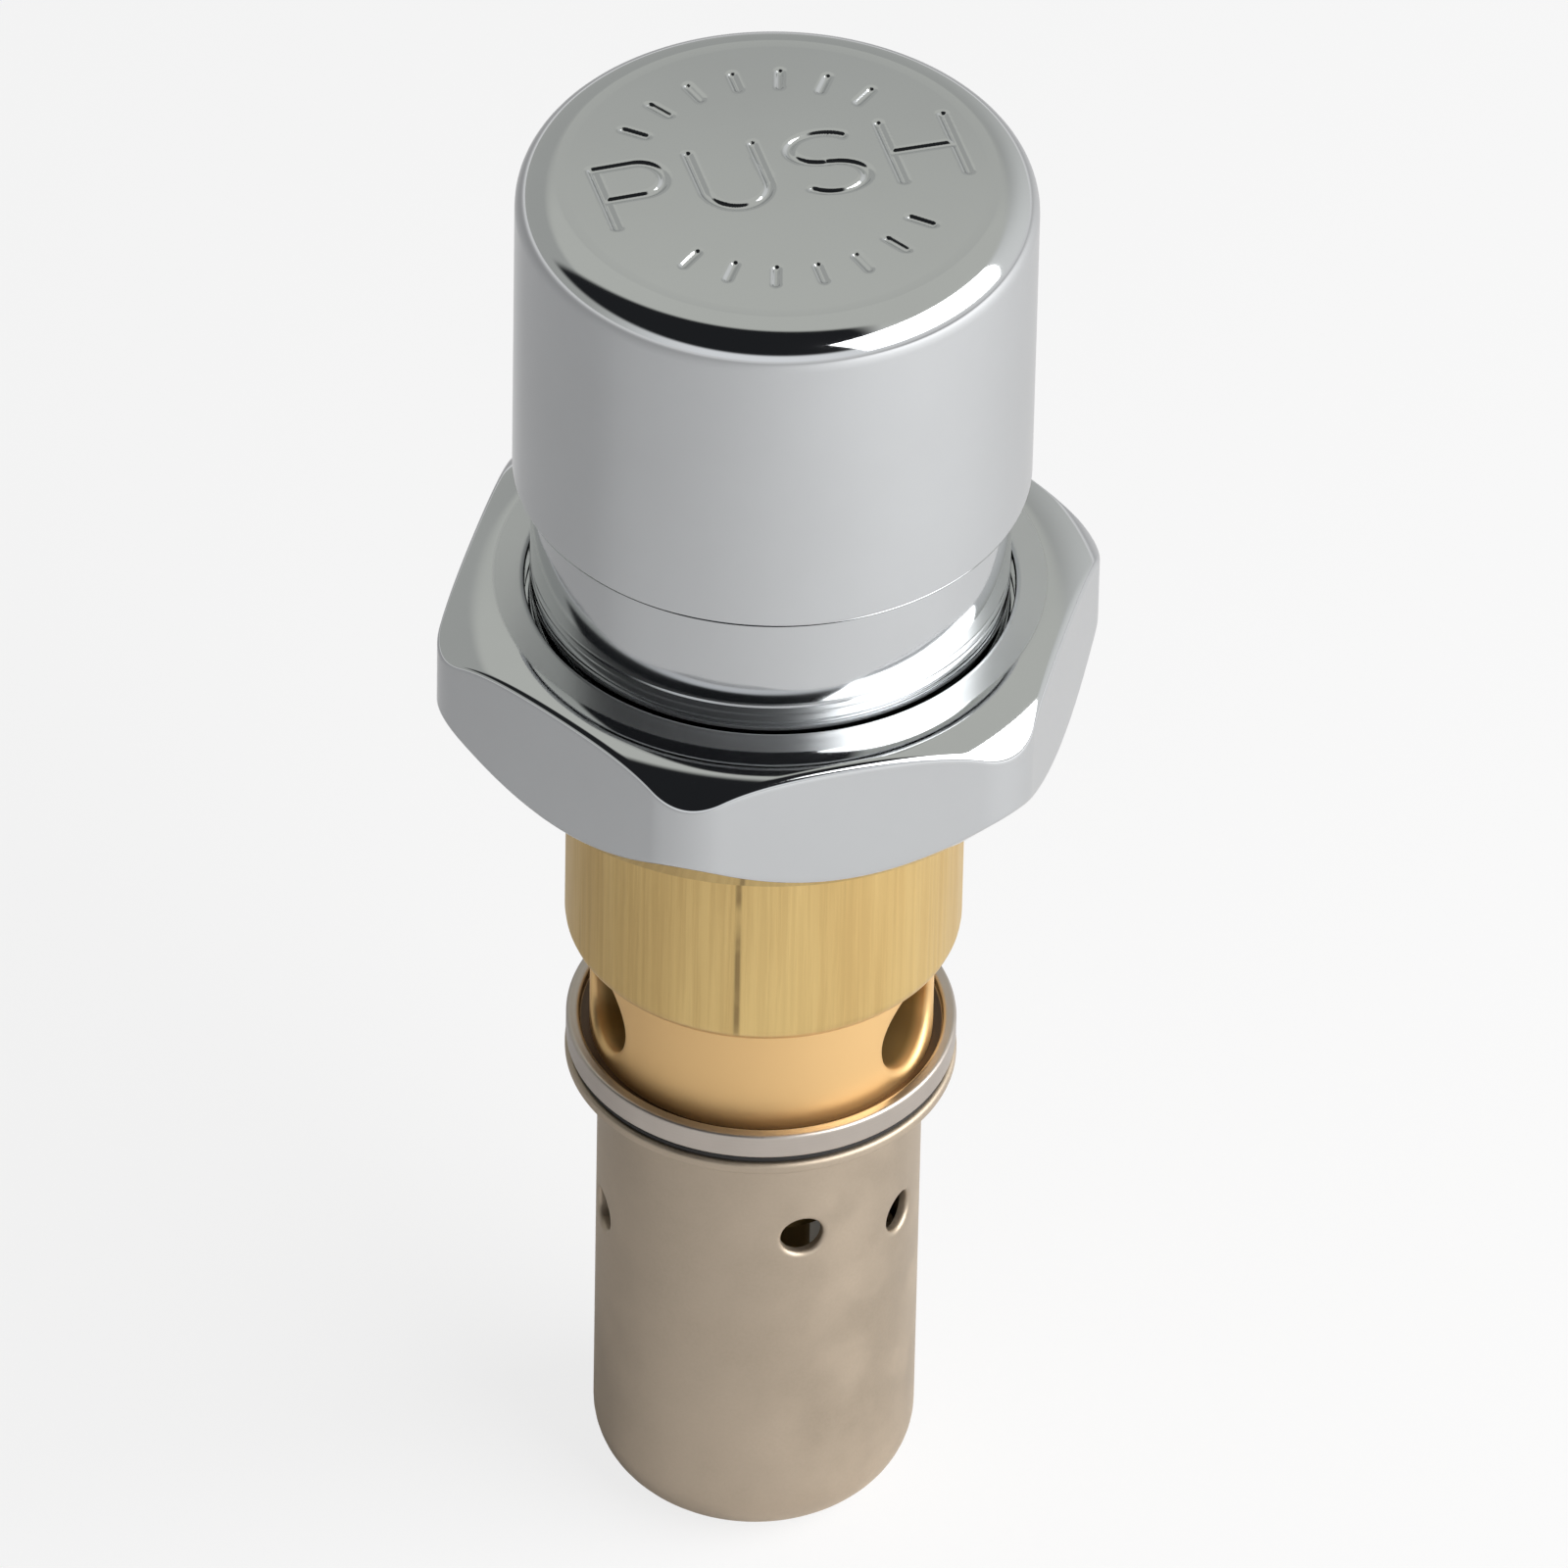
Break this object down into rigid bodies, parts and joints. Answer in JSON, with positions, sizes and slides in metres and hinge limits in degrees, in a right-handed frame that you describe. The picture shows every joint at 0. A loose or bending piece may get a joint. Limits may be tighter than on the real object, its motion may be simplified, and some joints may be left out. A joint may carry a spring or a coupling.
{
  "type": "push-button metering tap cartridge",
  "caption": "Push-button metering cartridge of a timed tap: chrome button and hexagon cap nut over a brass valve body, with a nickel timing cup that slows its return.",
  "frame": {"origin": "middle of the timing cup's foot, on the axis", "axes": "+Z along the axis towards the push button, -Y towards the front of the picture"},
  "size_m": [0.0384, 0.0398, 0.0985],
  "materials": {
    "chrome_plate": "polished chrome plate",
    "turned_brass": "bare turned brass with drawn streaks",
    "satin_nickel": "satin nickel",
    "bright_nickel": "bright turned nickel",
    "stainless_steel": "turned stainless steel",
    "black_rubber": "moulded rubber",
    "red_fibre": "pressed fibre",
    "white_acetal": "turned acetal"
  },
  "bodies": {
    "cartridge": {"timing_cup": "satin_nickel", "flange_gasket": "black_rubber", "clamp_ring": "bright_nickel", "valve_body": "turned_brass", "valve_seat": "stainless_steel", "bonnet_sleeve": "chrome_plate", "bonnet_gasket": "red_fibre", "wiper_ring": "black_rubber", "stem_orings": "black_rubber", "oring_spacer": "white_acetal", "gland_bush": "white_acetal", "gland_circlip": "stainless_steel", "spring_seat": "stainless_steel", "return_spring": "stainless_steel"},
    "nut": {"cap_nut": "chrome_plate"},
    "plunger": {"push_button": "chrome_plate", "button_locknut": "stainless_steel", "stem": "stainless_steel", "washer_plate": "turned_brass", "valve_washer": "black_rubber", "washer_holder": "turned_brass", "holder_nut": "stainless_steel", "piston_spacer": "turned_brass", "piston": "white_acetal", "piston_seal": "black_rubber", "bleed_jet": "turned_brass", "piston_nut": "stainless_steel"}
  },
  "joints": [
    {"name": "button_press", "type": "slide", "parent": "cartridge", "child": "plunger", "axis": [0, 0, -1], "range_m": [0, 0.006], "stiffness_N_per_m": 1200, "springref_m": -0.008, "deforming": ["return_spring"]},
    {"name": "nut_turn", "type": "hinge", "parent": "cartridge", "child": "nut", "pos_m": [0, 0, 0.0645], "axis": [0, 0, 1], "continuous": true}
  ]
}
